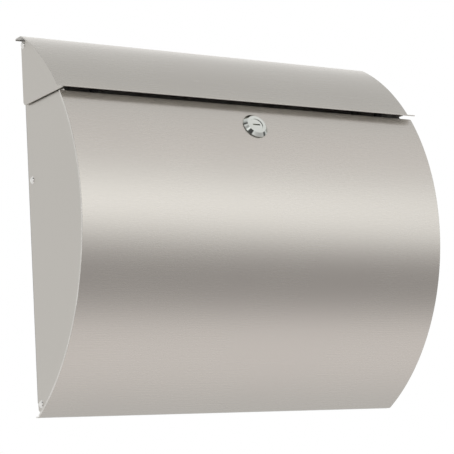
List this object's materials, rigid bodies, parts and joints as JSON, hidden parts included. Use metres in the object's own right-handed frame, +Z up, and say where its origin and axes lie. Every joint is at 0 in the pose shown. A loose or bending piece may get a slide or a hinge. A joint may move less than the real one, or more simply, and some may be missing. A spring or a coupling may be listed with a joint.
{
  "type": "wall mounted mailbox",
  "caption": "Wall mounted mailbox with a curved satin steel front: a lid that lifts for posting and a locking door that drops open for emptying.",
  "frame": {"origin": "middle of the four wall holes, in the plane of the back of the box; the wall is 6 mm behind it", "axes": "+X across the width, to the right as seen from the front; +Y towards the wall; +Z up"},
  "size_m": [0.37, 0.116, 0.33],
  "materials": {
    "outer_steel": "satin brushed",
    "inner_box": "plain mill steel",
    "rivets": "polished dome",
    "lock_chrome": "chrome plated",
    "lock_works": "zinc plated",
    "nylon": "moulded nylon",
    "buffer_rubber": "matt"
  },
  "bodies": {
    "box": {"back_panel": "inner_box", "side_panel_left": "outer_steel", "side_panel_right": "outer_steel", "box_floor": "inner_box", "strike_rail": "inner_box", "side_rivets": "rivets", "wall_spacers": "nylon", "lid_hinge_bushes": "nylon", "lid_rest_buffers": "buffer_rubber", "door_rest_buffers": "buffer_rubber", "door_hinge_rivets": "rivets", "door_hinge_washers": "lock_works"},
    "lid": {"lid_cover": "outer_steel", "lid_cheek_left": "outer_steel", "lid_cheek_right": "outer_steel", "lid_hinge_rivets": "rivets", "lid_hinge_washers": "lock_works"},
    "door": {"door_skin": "outer_steel", "door_hinge_tab_left": "outer_steel", "door_hinge_tab_right": "outer_steel", "door_hinge_bushes": "nylon", "lock_housing": "lock_chrome", "lock_nut": "lock_works", "lock_washer": "lock_works"},
    "lock_rotor": {"lock_plug": "lock_chrome", "lock_cam": "lock_works", "cam_screw": "lock_works", "cam_washer": "lock_works"}
  },
  "joints": [
    {"name": "lid_hinge", "type": "hinge", "parent": "box", "child": "lid", "pos_m": [0, -0.0047, 0.1591], "axis": [-1, 0, 0], "range_deg": [0, 75]},
    {"name": "door_hinge", "type": "hinge", "parent": "box", "child": "door", "pos_m": [0, -0.0066, -0.1533], "axis": [1, 0, 0], "range_deg": [0, 85]},
    {"name": "lock_turn", "type": "hinge", "parent": "door", "child": "lock_rotor", "pos_m": [0, -0.09163, 0.08], "axis": [0, -0.9033, 0.4289], "range_deg": [0, 90]}
  ]
}
